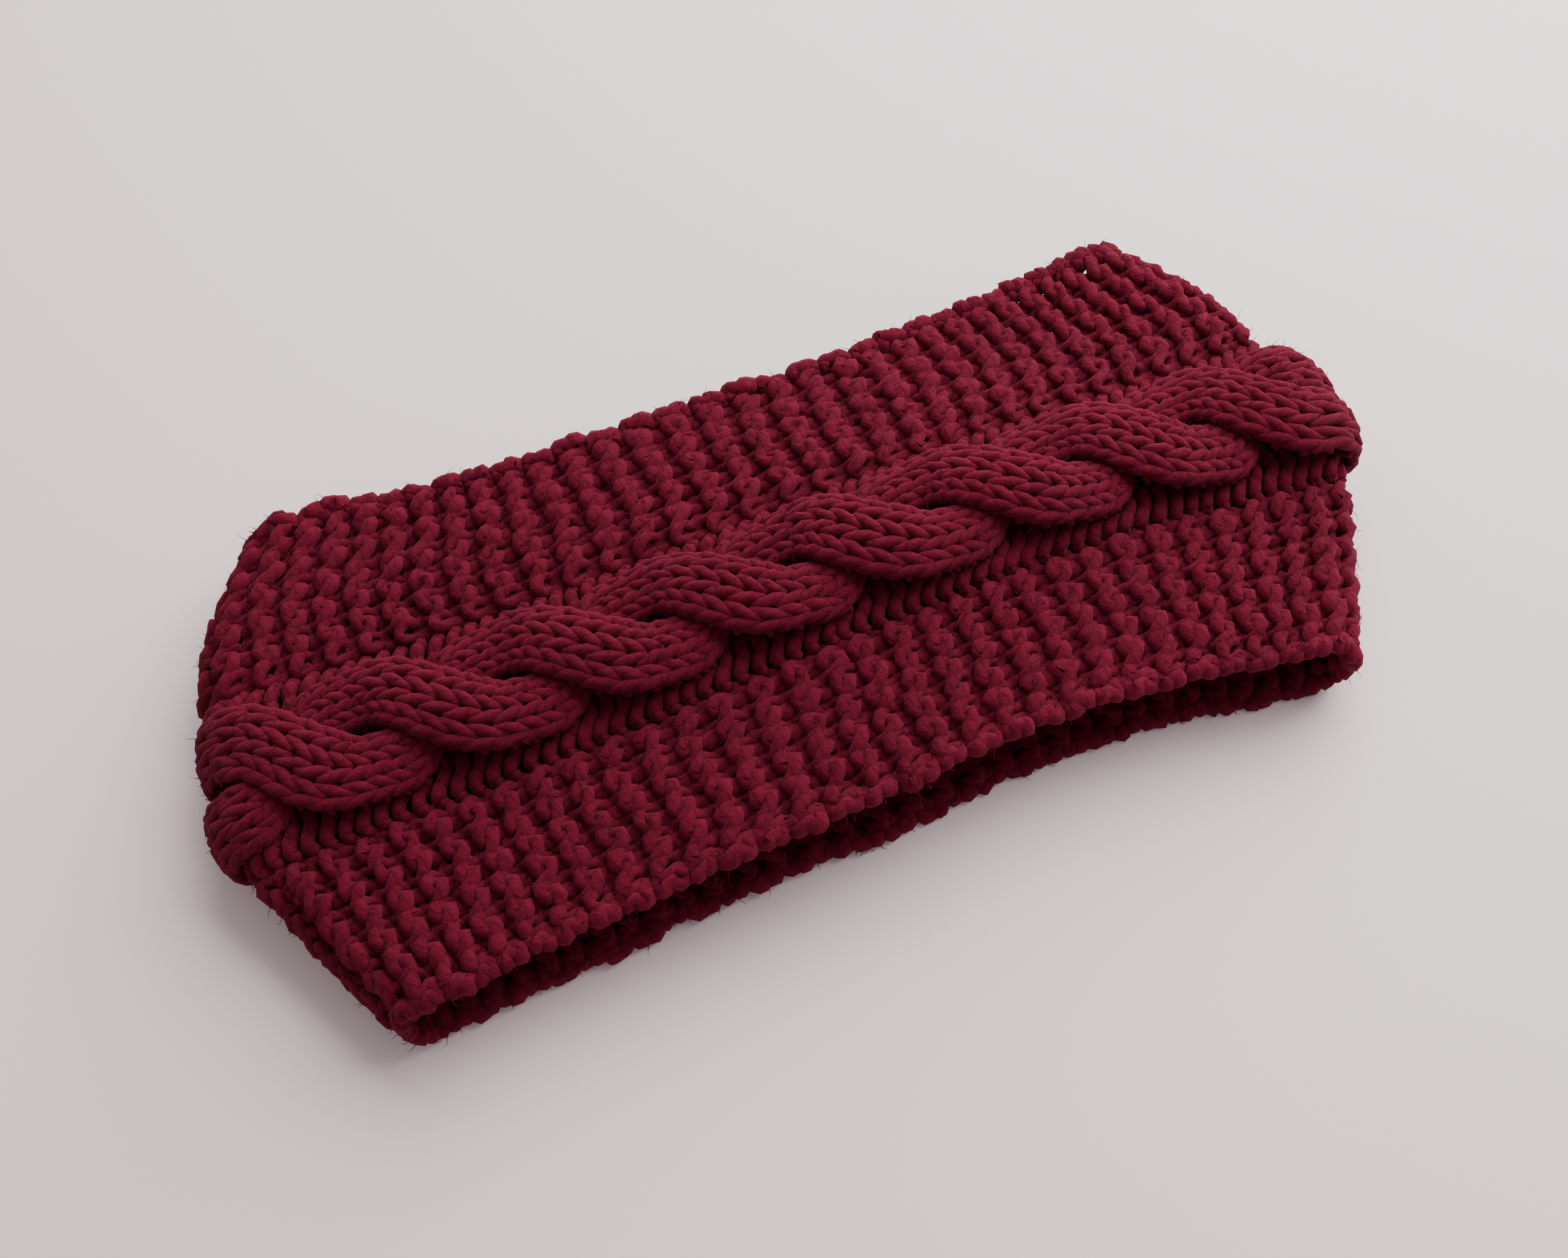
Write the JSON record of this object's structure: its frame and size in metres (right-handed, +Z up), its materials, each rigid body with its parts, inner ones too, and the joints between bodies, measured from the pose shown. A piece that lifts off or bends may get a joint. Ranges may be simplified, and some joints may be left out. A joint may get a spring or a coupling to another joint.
{
  "type": "ear warmer headband",
  "caption": "Hand-knitted ear warmer headband: a wide closed band folded flat, with a raised rope cable between garter-stitch borders and smooth purl channels.",
  "frame": {"origin": "middle of the folded band's footprint, on the surface that it lies on", "axes": "+X along the folded band, +Y across the band towards its upper edge, +Z up from the surface"},
  "size_m": [0.2405, 0.1138, 0.0309],
  "materials": {
    "burgundy_yarn": "soft plied wool-blend yarn, matt and slightly fuzzy"
  },
  "bodies": {
    "root": {"garter_border_upper": "burgundy_yarn", "garter_border_lower": "burgundy_yarn", "purl_ground": "burgundy_yarn", "cable_rope": "burgundy_yarn"}
  },
  "joints": []
}
